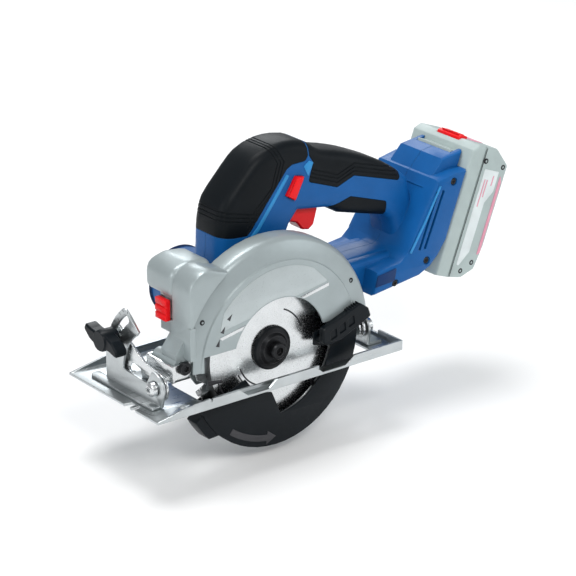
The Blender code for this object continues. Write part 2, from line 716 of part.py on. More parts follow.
def guard_lever():
    body = rounded([(35.4, 33.4), (71.2, 46.2), (79.2, 40.5), (81.8, 33.3), (44.2, 17.2), (36, 22)],
                   [3, 3, 3, 2, 4, 4], 3)
    made = prism("guard_lever", [body[::-1]], -53, -47.2, "Y", "black_plastic", rim=1)
    cut(made, prism("tilt room", [[(-60, 9.3), (-40, 9.3), (-60, 29.3)]], 30, 90, "X"))
    join(made, rod("stud", (38.4, 22.6), 2.6, -48, -42.9, sides=16))
    return pivot(made, ARBOR[0], -50, ARBOR[1])


def guard_spring():
    curve = bpy.data.curves.new("guard_spring", "CURVE")
    curve.dimensions = "3D"
    curve.bevel_depth = 0.45 * MM
    curve.bevel_resolution = 1
    curve.use_fill_caps = True
    spline = curve.splines.new("POLY")
    count = 26
    spline.points.add(count)
    for k in range(count + 1):
        angle = 200 + 1.5 * 360 * k / count
        x, z = polar(ARBOR, 16.2 + 5 * k / count, angle)
        spline.points[k].co = (x * MM, -27.3 * MM, z * MM, 1)
    guide = bpy.data.objects.new("guard_spring", curve)
    bpy.data.collections[PARTS].objects.link(guide)
    bpy.context.view_layer.update()
    bm = bmesh.new()
    bm.from_mesh(evaluated(guide))
    return add("guard_spring", mesh_from(bm, "guard_spring"), "bright_steel")


# ---------------------------------------------------------------- housing

TOP = [(-25, 133.5), (-14, 146), (0, 160), (8, 165), (18.3, 168.6), (32, 170), (46.5, 168), (57, 163),
       (66, 157), (81, 153), (96.5, 148), (111, 142), (127, 134.6), (142, 124.6), (150, 118)]
GAP_EDGE = [(44, 113.5), (72, 109.5), (84, 102.6), (101, 98), (116, 94), (128, 91), (133, 87), (136, 80),
            (137, 71), (134, 66), (128, 64), (52, 64), (38, 66), (33.5, 71), (31, 92), (36.5, 104.5)]


def handle_outline():
    collar = arc(MOTOR, 30.4, 150, 262, 12)
    lower = [(22, 34.6), (60, 42), (148, 50), (155, 62), (155, 101)]
    front = [(-28.8, 122), (-30.3, 110), (-30.8, 96), (-32.5, 84)]
    return smooth(TOP[::-1] + front) + collar + lower


def handle_solid(name, inward, half):
    outline = inset(handle_outline(), inward)
    opening = inset(GAP_EDGE, inward)
    rim = 7.5 - inward
    return prism(name, [outline, opening], MID_Y - half, MID_Y + half, "Y", "blue", rim=rim)


def beam_solid(inward, near, far):
    beam = inset([(24, 37), (90, 38.5), (140, 43), (140, 62.6), (24, 63.2)], inward)
    return prism("beam", [beam], near + inward, far - inward, "Y", rim=max(1.2, 4 - inward))


def foot_solid(inward):
    foot = [(100, 38), (145.5, 44), (156.5, 49), (165, 57), (172.4, 67.5), (192.4, 120.5), (180, 121),
            (163, 117.5), (148, 92), (134, 67), (126, 60), (103, 57)]
    foot = inset(foot, inward)
    return prism("foot", [foot], MID_Y - FOOT_HALF + inward, MID_Y + FOOT_HALF - inward, "Y",
                 rim=max(1.2, 3.5 - inward))


def crown_solid(inward):
    """The raised middle of the foot's top, in front of the battery's tongue."""
    crown = inset([(158, 110), (188.4, 110), (196.8, 132.4), (176, 129.6), (166, 119)], inward)
    return prism("crown", [crown], MID_Y - 26 + inward, MID_Y + 26 - inward, "Y", rim=max(1.2, 3 - inward))


def dock(depth, half, start, top):
    """The channel in the foot that the battery's tongue slides in."""
    along, out = Vector(RAIL_DIR), Vector((RAIL_DIR[1], -RAIL_DIR[0]))
    base = Vector((172.4, 67.5))
    corners = [(start, -depth), (start, 12), (top, 12), (top, -depth)]
    return prism("dock", [[tuple(base + along * u + out * w) for u, w in corners]],
                 MID_Y - half, MID_Y + half)


def casting_room():
    room = hull(circle(ARBOR, 22.3, 24) + circle(MOTOR, 30.3, 28))
    made = prism("room", [room], -30, 3.5)
    return join(made, rod("barrel", MOTOR, BARREL_R + 0.5, 0, BARREL_END_Y + 4, sides=36),
                box("over", (-90, -30, 70), (-44, 8.9, 104)))


POMMEL = [(-60, 110), (-32, 109.5), (-17.4, 106.5), (-5.4, 105.7), (-1.5, 109), (31.3, 149.7), (36.1, 152.4),
          (48.5, 152.8), (51, 156), (50.5, 185), (-60, 185)]
TOP_GRIP = [(52, 185), (52.3, 156), (56.3, 150), (51.9, 135.6), (79.2, 125.6), (95.4, 131.5),
            (139.4, 118.3), (141, 122), (139, 185)]
LOWER_PAD = [(72.3, 88), (72.3, 110.2), (92, 115.3), (127, 103.8), (127, 80)]


def housing():
    """Both halves of the blue housing and the black grips laid over it."""
    whole = handle_solid("housing", 0, 17.5)
    join(whole, beam_solid(0, -18.8, 26), foot_solid(0), crown_solid(0))
    whole = cut(whole, casting_room(), box("underside", (-60, 26.5, 0), (24, 60, 70)))
    hollow = handle_solid("hollow", 4.2, 13.3)
    join(hollow, beam_solid(3, -18.8, 26), foot_solid(3))
    under = handle_solid("under", 1.9, 15.6)
    skin_room = handle_solid("skin room", 2.2, 15.3)
    grips = []
    for name, outline in (("front_pommel", POMMEL), ("top_grip", TOP_GRIP), ("lower_grip_pad", LOWER_PAD)):
        outline = rounded(outline, 2, 2)
        region = prism("region", [outline], -40, 50)
        wrap = handle_solid(name, 0, 17.5)
        wrap.data.materials.clear()
        wrap.data.materials.append(MATERIALS["black_rubber"])
        cut(wrap, copy_of(under, "inner"))
        grips.append(keep(wrap, copy_of(region, "own")))
        turned_left = outline[::-1] if signed_area(outline) < 0 else outline
        bigger = prism("bigger", [inset(turned_left, -GAP)], -40, 50)
        cut(whole, cut(bigger, copy_of(skin_room, "core")))
        remove(region)
    remove(under)
    remove(skin_room)
    cut(whole, hollow)
    cut(whole, dock(8, 20, 8, 90), trigger_room(), lock_room(0.3, 40))
    for y in (-33.5, 40.5):
        for x, top in ((143.5, 161.9), (148.8, 167.8)):
            slit = [(x, 66), (x + 2.2, 65), (top + 1.2, 108.5), (top - 1, 109.5)]
            cut(whole, prism("vent", [slit], y - 5, y + 5))
    twin = copy_of(whole, "housing_right")
    whole.name = "housing_left"
    cut(whole, box("far side", (-200, MID_Y - GAP / 2, -50), (300, 100, 250)))
    cut(twin, box("near side", (-200, -100, -50), (300, MID_Y + GAP / 2, 250)))
    for shell in (whole, twin):
        main_body(shell)
    return [whole, twin] + grips


def signed_area(points):
    return sum(a[0] * b[1] - b[0] * a[1] for a, b in zip(points, points[1:] + points[:1])) / 2


def trigger_outline(grow):
    outline = rounded([(44, 117.5), (66, 111.5), (68.5, 108), (65, 96), (60.5, 92.8), (54, 94.2), (48.5, 101),
                       (38, 104.5), (33, 108), (34, 114)], [1, 1, 2, 2, 2, 2, 2, 1, 1, 1], 2)
    return inset(outline[::-1], -grow)


def trigger_room():
    """The space that the trigger fills and moves through."""
    rest = trigger_outline(0.8)
    pressed = [(x + TRIGGER_TRAVEL[0], z + TRIGGER_TRAVEL[1]) for x, z in rest]
    return prism("trigger room", [hull(rest + pressed)], MID_Y - 8.3, MID_Y + 8.3)


def trigger():
    made = prism("trigger", [trigger_outline(0)], MID_Y - 7.5, MID_Y + 7.5, "Y", "red", rim=1.2)
    return pivot(made, 52, MID_Y, 106)


LOCK = [(38.6, 143), (46, 141.5), (37.5, 124.5), (30, 129.5)]


def lock_room(grow, half):
    return prism("lock room", [inset(LOCK[::-1], -grow)], MID_Y - half, MID_Y + half)


def lock_off():
    made = prism("lock_off", [LOCK[::-1]], MID_Y - 21, MID_Y + 21, "Y", "red", rim=0.8)
    return pivot(made, 38, MID_Y, 134.5)


def trigger_switch():
    body = [(54, 123.5), (84, 117), (90, 128), (62, 138), (54, 134)]
    return prism("trigger_switch", [body], MID_Y - 8, MID_Y + 8, "Y", "black_plastic")


def control_board():
    return box("control_board", (118, MID_Y - 16, 50), (146, MID_Y + 16, 52), "board")


def terminal_block():
    base, along = Vector((172.4, 67.5)), Vector(RAIL_DIR)
    out = Vector((RAIL_DIR[1], -RAIL_DIR[0]))
    corners = [(10, -12.4), (10, -8.3), (26, -8.3), (26, -12.4)]
    loop = [tuple(base + along * u + out * w) for u, w in corners]
    return prism("terminal_block", [loop], MID_Y - 14, MID_Y + 14, "Y", "black_plastic")


# ---------------------------------------------------------------- battery

def pack_point(w, u):
    """World (x, z) of a point w out from the docking plane and u up along it."""
    return (172.4 + RAIL_DIR[1] * w + RAIL_DIR[0] * u, 67.5 - RAIL_DIR[0] * w + RAIL_DIR[1] * u)


def pack_prism(name, corners, half, slot=None, rim=0.0, radii=0):
    loop = rounded([pack_point(*c) for c in corners], radii, 2)
    if signed_area(loop) < 0:
        loop = loop[::-1]
    return prism(name, [loop], MID_Y - half, MID_Y + half, "Y", slot, rim=rim)


def battery_cap():
    outer = [(0.4, -29), (14, -29), (14, 77), (6, 77), (0.4, 72)]
    made = pack_prism("battery_cap", outer, 36.5, "pale_plastic", 2.5)
    cut(made, pack_prism("room", [(3, -26), (20, -26), (20, 63), (3, 63)], 33.5))
    tongue = pack_prism("tongue", [(-7, 9), (4, 9), (4, 67), (-7, 67)], 19.4)
    cut(tongue, pack_prism("core", [(-4.6, 11.5), (12, 11.5), (12, 63), (-4.6, 63)], 16.6))
    join(made, tongue)
    cut(made, pack_prism("core", [(-4.6, 11.5), (12, 11.5), (12, 63), (-4.6, 63)], 16.6))
    for k in range(4):
        u = -10.5 + 7 * k
        slot = pack_prism("contact slot", [(-9, 8), (-5, 8), (-5, 24), (-9, 24)], 1)
        slot.data.transform(Matrix.Translation((0, u * MM, 0)))
        cut(made, slot)
    return cut(made, pack_prism("button room", [(4, 66.6), (13, 66.6), (13, 80), (4, 80)], 13.4))


def battery_case():
    outer = [(14.3, -29), (27.5, -27.6), (38.3, -19), (41, 0), (41.3, 66.3), (26, 77), (14.3, 77)]
    made = pack_prism("battery_case", outer, 36.5, "pale_plastic", 2.5, [0, 4, 4, 4, 3, 3, 0])
    inner = [(10, -26), (26.5, -24.6), (35.6, -17.4), (38, 0), (38.3, 64.5), (25, 74), (10, 74)]
    return cut(made, pack_prism("room", inner, 33.5))


def battery_cells():
    made = pack_prism("battery_cells", [(8, -22), (34.5, -14), (36, 60), (8, 62)], 32, "black_plastic")
    return made


def release_button():
    outline = [(4.3, 70.6), (12.7, 70.6), (12.7, 79), (6.5, 79), (4.3, 77)]
    made = pack_prism("release_button", outline, 13, "red")
    x, z = pack_point(8.5, 74)
    return pivot(made, x, MID_Y, z)


# ---------------------------------------------------------------- assembly

def build():
    sole_plate()
    front_bracket()
    rear_bracket()
    pivot_bolt("front_pivot_bolt", -108.5, -95)
    rear_pivot_bolt()
    tilt_bracket()
    depth_arc()
    depth_pivot_pin()
    bevel_bolt()
    wing_knob()
    depth_clamp_bolt()
    depth_lever()
    gear_housing()
    upper_guard()
    gearbox_cover()
    spindle_lock()
    ring("spindle_bearing_front", ARBOR, 6.3, 11, -29.4, -24.6)
    ring("spindle_bearing_rear", ARBOR, 4.3, 7.5, -9, -6.8)
    ring("motor_bearing_front", MOTOR, 2.8, 6, -9, -6.8)
    ring("motor_bearing_rear", MOTOR, 2.8, 6, 64.6, 67)
    spindle()
    drive_gear()
    inner_flange()
    saw_blade()
    outer_flange()
    blade_bolt()
    motor_shaft()
    rotor_core()
    cooling_fan()
    stator()
    motor_housing()
    rating_label()
    lower_guard()
    guard_lever()
    guard_spring()
    housing()
    trigger()
    lock_off()
    trigger_switch()
    control_board()
    terminal_block()
    battery_cap()
    battery_case()
    battery_cells()
    release_button()


clear_scene()
MATERIALS = make_materials()
build()
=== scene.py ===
"""Looks of the cordless circular saw: surfaces, fine pieces, studio and camera."""

import json
from math import cos, radians, sin

import bmesh
import bpy
from mathutils import Matrix, Vector


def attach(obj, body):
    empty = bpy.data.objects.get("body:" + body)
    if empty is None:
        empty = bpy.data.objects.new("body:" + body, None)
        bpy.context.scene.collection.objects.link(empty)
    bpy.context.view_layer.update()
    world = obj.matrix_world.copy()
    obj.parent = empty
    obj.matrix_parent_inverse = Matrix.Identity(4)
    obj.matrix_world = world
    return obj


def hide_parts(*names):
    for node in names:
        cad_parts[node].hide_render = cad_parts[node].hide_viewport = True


MM = 0.001
ARBOR = (0.0, 23.0)              # x, z
MOTOR = (-8.0, 46.1)             # x, z
RAIL = (0.353, 0.936)            # battery slide direction, x, z
RAIL_FOOT = (172.4, 67.5)        # lower end of the docking plane, x, z
BEVEL_PIVOT = (-31.7, 16.0)      # y, z
SHELL_NEAR, SHELL_FAR = -33.5, 40.5    # y of the battery foot's two sides
PACK_NEAR, PACK_FAR = -33.0, 40.0      # y of the battery's two sides
HANDLE_NEAR = -14.0              # y of the handle's near side
GUARD_FACE = -46.8               # y of the upper guard's flat ring
TEETH = 24
CREASE = 32                      # degrees: a sharper edge than this stays hard
FLOOR_Z = -0.0615                # metres, under the lower guard
CAMERA_AZIMUTH, CAMERA_ELEVATION, CAMERA_DISTANCE = -37.648, 21.654, 2.0
CAMERA_TARGET = (0.01666, -0.0345, 0.06584)
CAMERA_LENS = 169.3

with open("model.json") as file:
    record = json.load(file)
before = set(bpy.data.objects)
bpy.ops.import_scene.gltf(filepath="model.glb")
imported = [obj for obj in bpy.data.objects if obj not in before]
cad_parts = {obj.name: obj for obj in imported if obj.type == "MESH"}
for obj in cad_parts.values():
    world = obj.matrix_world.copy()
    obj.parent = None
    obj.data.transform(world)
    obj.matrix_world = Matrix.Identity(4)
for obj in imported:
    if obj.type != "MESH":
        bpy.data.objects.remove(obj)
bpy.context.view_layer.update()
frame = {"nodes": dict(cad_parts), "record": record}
NODES = frame["nodes"]


# ------------------------------------------------------------------ surfaces

def link(tree, a, b):
    tree.links.new(a, b)


def surface(name, colour, rough, metal=0.0, grain=900.0, bump=0.12, vary=0.08, edge_highlight=0.25, edge=None,
            brush=None, gloss=0.5):
    """A procedural finish: fine grain, slow colour drift, rough patches and paler edges as a patchy painted
    highlight.
    """
    made = bpy.data.materials.new(name)
    made.use_nodes = True
    tree = made.node_tree
    nodes = tree.nodes
    shader = nodes["Principled BSDF"]
    shader.inputs["Metallic"].default_value = metal
    shader.inputs["Specular IOR Level"].default_value = gloss
    place = nodes.new("ShaderNodeTexCoord")
    source = place.outputs["Object"]
    if brush:
        stretch = nodes.new("ShaderNodeMapping")
        stretch.inputs["Scale"].default_value = brush
        link(tree, source, stretch.inputs["Vector"])
        grain_source = stretch.outputs["Vector"]
    else:
        grain_source = source
    fine = nodes.new("ShaderNodeTexNoise")
    fine.inputs["Scale"].default_value = grain
    fine.inputs["Detail"].default_value = 3.0
    link(tree, grain_source, fine.inputs["Vector"])
    slow = nodes.new("ShaderNodeTexNoise")
    slow.inputs["Scale"].default_value = 60.0
    slow.inputs["Detail"].default_value = 4.0
    link(tree, source, slow.inputs["Vector"])

    drift = nodes.new("ShaderNodeMapRange")
    drift.inputs["From Min"].default_value = 0.3
    drift.inputs["From Max"].default_value = 0.7
    drift.inputs["To Min"].default_value = 1 - vary
    drift.inputs["To Max"].default_value = 1 + vary
    link(tree, slow.outputs["Fac"], drift.inputs["Value"])
    tint = nodes.new("ShaderNodeMix")
    tint.data_type = "RGBA"
    tint.blend_type = "MULTIPLY"
    tint.inputs["Factor"].default_value = 1.0
    tint.inputs["A"].default_value = (*colour, 1)
    grey = nodes.new("ShaderNodeCombineColor")
    for channel in ("Red", "Green", "Blue"):
        link(tree, drift.outputs["Result"], grey.inputs[channel])
    link(tree, grey.outputs["Color"], tint.inputs["B"])

    # Painted highlight: rounded edges, found by comparing the bevel normal with the face normal, are mixed
    # in patches toward a paler colour.
    rounded_edge = nodes.new("ShaderNodeBevel")
    rounded_edge.samples = 4
    rounded_edge.inputs["Radius"].default_value = 0.0006
    shape = nodes.new("ShaderNodeNewGeometry")
    facing = nodes.new("ShaderNodeVectorMath")
    facing.operation = "DOT_PRODUCT"
    link(tree, rounded_edge.outputs["Normal"], facing.inputs[0])
    link(tree, shape.outputs["Normal"], facing.inputs[1])
    edge_highlight_mask = nodes.new("ShaderNodeMapRange")
    edge_highlight_mask.inputs["From Min"].default_value = 0.99
    edge_highlight_mask.inputs["From Max"].default_value = 0.86
    edge_highlight_mask.inputs["To Min"].default_value = 0.0
    edge_highlight_mask.inputs["To Max"].default_value = edge_highlight
    link(tree, facing.outputs["Value"], edge_highlight_mask.inputs["Value"])
    patchy = nodes.new("ShaderNodeMath")
    patchy.operation = "MULTIPLY"
    link(tree, edge_highlight_mask.outputs["Result"], patchy.inputs[0])
    link(tree, slow.outputs["Fac"], patchy.inputs[1])
    paint = nodes.new("ShaderNodeMix")
    paint.data_type = "RGBA"
    link(tree, patchy.outputs["Value"], paint.inputs["Factor"])
    link(tree, tint.outputs["Result"], paint.inputs["A"])
    # The paler colour of the painted edge highlight.
    light = edge or tuple(min(1.0, c * 1.7 + 0.04) for c in colour)
    paint.inputs["B"].default_value = (*light, 1)
    link(tree, paint.outputs["Result"], shader.inputs["Base Color"])

    rougher = nodes.new("ShaderNodeMapRange")
    rougher.inputs["From Min"].default_value = 0.3
    rougher.inputs["From Max"].default_value = 0.7
    rougher.inputs["To Min"].default_value = max(0.04, rough - 0.07)
    rougher.inputs["To Max"].default_value = min(1.0, rough + 0.07)
    link(tree, fine.outputs["Fac"], rougher.inputs["Value"])
    link(tree, rougher.outputs["Result"], shader.inputs["Roughness"])
    relief = nodes.new("ShaderNodeBump")
    relief.inputs["Strength"].default_value = bump
    relief.inputs["Distance"].default_value = 0.0003
    link(tree, fine.outputs["Fac"], relief.inputs["Height"])
    link(tree, rounded_edge.outputs["Normal"], relief.inputs["Normal"])
    link(tree, relief.outputs["Normal"], shader.inputs["Normal"])
    return made


# Where a row gives an eighth and ninth value, they are the strength and the paler colour of the painted edge
# highlight.
LOOKS = {
    "steel": surface("zinc_steel", (0.50, 0.53, 0.54), 0.33, 1.0, 260, 0.06, 0.06, 0.3,
                     (0.8, 0.82, 0.83), brush=(0.15, 3.0, 3.0)),
    "bright_steel": surface("bright_steel", (0.66, 0.68, 0.69), 0.24, 1.0, 300, 0.05, 0.05, 0.3,
                            (0.86, 0.87, 0.88), brush=(3.0, 0.2, 3.0)),
    "black_steel": surface("black_steel", (0.018, 0.019, 0.021), 0.34, 0.7, 700, 0.08, 0.1, 0.5,
                           (0.25, 0.25, 0.26), gloss=0.3),
    "cast": surface("cast_paint", (0.335, 0.385, 0.395), 0.36, 0.35, 1500, 0.10, 0.05, 0.35,
                    (0.62, 0.66, 0.67)),
    "blue": surface("blue_shell", (0.004, 0.095, 0.315), 0.38, 0.0, 2600, 0.20, 0.06, 0.3,
                    (0.04, 0.26, 0.58), gloss=0.2),
    "black_rubber": surface("black_rubber", (0.0035, 0.0055, 0.0075), 0.44, 0.0, 2200, 0.24, 0.12, 0.3,
                            (0.012, 0.016, 0.02), gloss=0.13),
    "black_plastic": surface("black_plastic", (0.004, 0.0065, 0.009), 0.34, 0.0, 1800, 0.14, 0.1, 0.4,
                             (0.02, 0.026, 0.03), gloss=0.15),
    "red": surface("red_plastic", (0.78, 0.006, 0.010), 0.32, 0.0, 1800, 0.10, 0.05, 0.3,
                   (0.95, 0.06, 0.05), gloss=0.22),
    "copper": surface("copper", (0.72, 0.32, 0.15), 0.4, 1.0, 500, 0.2),
    "board": surface("board", (0.02, 0.16, 0.06), 0.5, 0.0, 600, 0.1),
    "pale_plastic": surface("pale_plastic", (0.385, 0.46, 0.455), 0.45, 0.0, 2200, 0.18, 0.05, 0.3,
                            (0.62, 0.68, 0.68)),
    "label": surface("label_film", (0.008, 0.05, 0.17), 0.28, 0.0, 1500, 0.04, 0.05, 0.2),
    # light_blue and dark_blue are lit and shaded copies of the blue shell: painted highlight and painted
    # shade.
    "light_blue": surface("light_blue", (0.025, 0.24, 0.55), 0.38, 0.0, 2600, 0.2, 0.05, 0.3, gloss=0.25),
    "dark_blue": surface("dark_blue", (0.002, 0.030, 0.12), 0.42, 0.0, 2600, 0.2, 0.06, 0.3, gloss=0.2),
    # pale_cast is a paler copy of the cast paint, used as a painted highlight on the guard.
    "pale_cast": surface("pale_cast", (0.45, 0.50, 0.51), 0.34, 0.35, 1500, 0.08, 0.04, 0.3,
                         (0.68, 0.72, 0.73)),
    "pink": surface("pink_accent", (0.72, 0.30, 0.40), 0.45, 0.0, 1800, 0.12),
    "paper": surface("pale_panel", (0.66, 0.72, 0.73), 0.42, 0.0, 1500, 0.05),
    "white_print": surface("white_print", (0.75, 0.80, 0.84), 0.4, 0.0, 1500, 0.03),
    "dark_print": surface("dark_print", (0.03, 0.03, 0.035), 0.45, 0.0, 1500, 0.03),
    "carbide": surface("carbide", (0.30, 0.31, 0.32), 0.3, 1.0, 900, 0.1),
    "blade_dark": surface("blade_ring", (0.10, 0.11, 0.115), 0.32, 1.0, 320, 0.05, 0.08, 0.3,
                          (0.6, 0.6, 0.6)),
}

for entry in frame["record"]["subparts"]:
    node = NODES[entry["node"]]
    node.data.materials.clear()
    node.data.materials.append(LOOKS[entry["material_slot"]])
    if "custom_normal" in node.data.attributes:
        node.data.attributes.remove(node.data.attributes["custom_normal"])
    node.data.shade_smooth()
    weld = node.modifiers.new("weld", "WELD")
    weld.merge_threshold = 1e-6


def soften(name, width):
    """Rounds the hard edges of a CAD node."""
    rounder = NODES[name].modifiers.new("bevel", "BEVEL")
    rounder.width = width * MM
    rounder.segments = 2
    rounder.limit_method = "ANGLE"
    rounder.angle_limit = radians(CREASE)
    rounder.use_clamp_overlap = True


for name, width in (("sole_plate", 0.5), ("front_bracket", 0.35), ("tilt_bracket", 0.35),
                    ("rear_bracket", 0.35), ("depth_arc", 0.3), ("spindle_lock", 0.5), ("lock_off", 0.7),
                    ("release_button", 0.6), ("battery_cap", 0.4), ("lower_guard", 0.35)):
    soften(name, width)


for node in NODES.values():
    split = node.modifiers.new("crease", "EDGE_SPLIT")
    split.split_angle = radians(34)


# ------------------------------------------------------------------ making pieces

AXES = {
    "X": Matrix(((0, 0, 1), (1, 0, 0), (0, 1, 0))).to_4x4(),
    "Y": Matrix(((1, 0, 0), (0, 0, 1), (0, 1, 0))).to_4x4(),
    "Z": Matrix.Identity(4),
}


def polar(centre, radius, angle):
    return (centre[0] + radius * cos(radians(angle)), centre[1] + radius * sin(radians(angle)))


def arc(centre, radius, start, end, steps):
    return [polar(centre, radius, start + (end - start) * k / steps) for k in range(steps + 1)]


def circle(centre, radius, sides=24):
    return [polar(centre, radius, 360 * k / sides) for k in range(sides)]


def rounded(points, radius, steps=4):
    """The polygon with each corner rounded."""
    made = []
    for k, here in enumerate(points):
        before = Vector(points[k - 1]) - Vector(here)
        after = Vector(points[(k + 1) % len(points)]) - Vector(here)
        half = before.angle(after) / 2
        slope = max(1e-6, abs(sin(half) / cos(half)))
        reach = min(radius / slope, before.length / 2.05, after.length / 2.05)
        start = Vector(here) + before.normalized() * reach
        end = Vector(here) + after.normalized() * reach
        for n in range(steps + 1):
            t = n / steps
            point = start * (1 - t) ** 2 + Vector(here) * 2 * t * (1 - t) + end * t ** 2
            made.append((point.x, point.y))
    return made


def finished(bm, name, look, angle=35):
    bmesh.ops.remove_doubles(bm, verts=bm.verts, dist=1e-7)
    bmesh.ops.recalc_face_normals(bm, faces=bm.faces)
    mesh = bpy.data.meshes.new(name)
    bm.to_mesh(mesh)
    bm.free()
    if look:
        mesh.materials.append(LOOKS[look])
    mesh.shade_smooth()
    mesh.set_sharp_from_angle(angle=radians(angle))
    made = bpy.data.objects.new(name, mesh)
    bpy.context.scene.collection.objects.link(made)
    return made


def prism(name, loops, low, high, axis="Y", look=None, rim=0.0, rim_steps=2):
    """A flat outline with any holes, drawn across an axis and extruded, its edges rounded by rim."""
    curve = bpy.data.curves.new(name, "CURVE")
    curve.dimensions = "2D"
    curve.fill_mode = "BOTH"
    curve.extrude = ((high - low) / 2 - rim) * MM
    curve.bevel_depth = rim * MM
    curve.bevel_resolution = rim_steps
    curve.offset = -rim * MM
    for loop in loops:
        spline = curve.splines.new("POLY")
        spline.points.add(len(loop) - 1)
        spline.use_cyclic_u = True
        for point, (u, v) in zip(spline.points, loop):
            point.co = (u * MM, v * MM, 0, 1)
    guide = bpy.data.objects.new(name, curve)
    bpy.context.scene.collection.objects.link(guide)
    bpy.context.view_layer.update()
    graph = bpy.context.evaluated_depsgraph_get()
    flat = bpy.data.meshes.new_from_object(guide.evaluated_get(graph))
    bpy.data.objects.remove(guide, do_unlink=True)
    bm = bmesh.new()
    bm.from_mesh(flat)
    shift = Matrix.Translation((0, 0, (low + high) / 2 * MM))
    bmesh.ops.transform(bm, matrix=AXES[axis] @ shift, verts=bm.verts)
    return finished(bm, name, look)


def turned(name, profile, centre, axis="Y", look=None, start=0.0, sweep=360.0, steps=96):
    """A closed (radius, height) profile turned about an axis, wholly or through part of a turn."""
    whole = sweep >= 360
    bm = bmesh.new()
    rows = []
    for k in range(steps if whole else steps + 1):
        angle = radians(start + sweep * k / steps)
        rows.append([bm.verts.new((r * cos(angle) * MM, r * sin(angle) * MM, h * MM)) for r, h in profile])
    count = len(profile)
    for a, b in zip(rows, rows[1:] + (rows[:1] if whole else [])):
        for n in range(count):
            m = (n + 1) % count
            bm.faces.new([a[n], a[m], b[m], b[n]])
    if not whole:
        bm.faces.new(rows[0])
        bm.faces.new(rows[-1])
    shift = Matrix.Translation((centre[0] * MM, centre[1] * MM, 0))
    bmesh.ops.transform(bm, matrix=AXES[axis] @ shift, verts=bm.verts)
    return finished(bm, name, look, 30)


def on(obj, body):
    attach(obj, body)
    return obj


# ------------------------------------------------------------------ fine pieces

SIDE = Vector((0, 1, 0))


def welded(name):
    """A closed mesh of the CAD node, in the row frame."""
    bm = bmesh.new()
    bm.from_mesh(NODES[name].data)
    bm.transform(NODES[name].matrix_world)
    bmesh.ops.remove_doubles(bm, verts=bm.verts, dist=2e-6)
    return bm


def groove_cutter(bm, name, lines, radius):
    """Tubes that follow the surface where planes through the given side-view lines cross it."""
    paths = bmesh.new()
    for start, end in lines:
        a = Vector((start[0], 0, start[1])) * MM
        b = Vector((end[0], 0, end[1])) * MM
        along = (b - a).normalized()
        part = bm.copy()
        for place, inner in ((a, True), (b, False)):
            bmesh.ops.bisect_plane(part, geom=part.verts[:] + part.edges[:] + part.faces[:], dist=1e-7,
                                   plane_co=place, plane_no=along, clear_inner=inner, clear_outer=not inner)
        found = bmesh.ops.bisect_plane(part, geom=part.verts[:] + part.edges[:] + part.faces[:], dist=1e-7,
                                       plane_co=a, plane_no=along.cross(SIDE))["geom_cut"]
        copies = {v: paths.verts.new(v.co) for v in found if isinstance(v, bmesh.types.BMVert)}
        for edge in found:
            if isinstance(edge, bmesh.types.BMEdge) and all(v in copies for v in edge.verts):
                paths.edges.new([copies[v] for v in edge.verts])
        part.free()
    bmesh.ops.remove_doubles(paths, verts=paths.verts, dist=2e-5)
    tubes = bmesh.new()
    for edge in paths.edges:
        a, b = (v.co for v in edge.verts)
        length = (b - a).length
        if length < 1e-4:
            continue
        turn = (b - a).to_track_quat("Z", "Y").to_matrix().to_4x4()
        turn.translation = (a + b) / 2
        bmesh.ops.create_cone(tubes, cap_ends=True, segments=8, radius1=radius * MM, radius2=radius * MM,
                              depth=length + 0.5 * radius * MM, matrix=turn)
    paths.free()
    return finished(tubes, name, None)


def cut(obj, *cutters, crossing=False):
    """Takes the cutters out of the object. crossing says that a cutter passes through itself."""
    look = obj.data.materials[0]
    for cutter in cutters:
        modifier = obj.modifiers.new("recess", "BOOLEAN")
        modifier.operation = "DIFFERENCE"
        modifier.object = cutter
        modifier.use_self = crossing
    bpy.context.view_layer.update()
    graph = bpy.context.evaluated_depsgraph_get()
    mesh = bpy.data.meshes.new_from_object(obj.evaluated_get(graph))
    obj.modifiers.clear()
    obj.data = mesh
    mesh.materials.clear()
    mesh.materials.append(look)
    mesh.shade_smooth()
    mesh.set_sharp_from_angle(angle=radians(CREASE))
    for cutter in cutters:
        bpy.data.objects.remove(cutter, do_unlink=True)
    return obj


def carved(name, body, cutters=(), grooves=(), radius=0.55):
    """The CAD piece with its fine recesses cut in, shown in place of the plain one."""
    bm = welded(name)
    cutters = list(cutters)
    if grooves:
        cutters.append(groove_cutter(bm, name + " grooves", grooves, radius))
    made = finished(bm, name + "_carved", None, CREASE)
    made.data.materials.clear()
    made.data.materials.append(NODES[name].data.materials[0])
    cut(made, *cutters, crossing=True)
    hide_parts(name)
    return on(made, body)


def plate(name, loops, low, high, look, body, rim=0.15, axis="Y"):
    return on(prism(name, loops, low, high, axis, look, rim, 1), body)


def pack_point(w, u):
    """World (x, z) of a point w out from the docking plane and u up along it."""
    return (RAIL_FOOT[0] + RAIL[1] * w + RAIL[0] * u, RAIL_FOOT[1] - RAIL[0] * w + RAIL[1] * u)


def chain(points):
    return list(zip(points, points[1:]))


def screw(name, x, z, y, toward, body, radius=2.6):
    """A socket screw's head, its face at y and looking toward -Y or +Y."""
    socket = radius * 0.45
    profile = [(0.01, 0.9), (socket, 0.9), (socket, 0.05), (radius - 0.4, 0.0), (radius, 0.35),
               (radius, 1.6), (0.01, 1.6)]
    profile = [(r, y + h * -toward) for r, h in profile]
    return on(turned(name, profile, (x, z), "Y", "black_steel", steps=24), body)


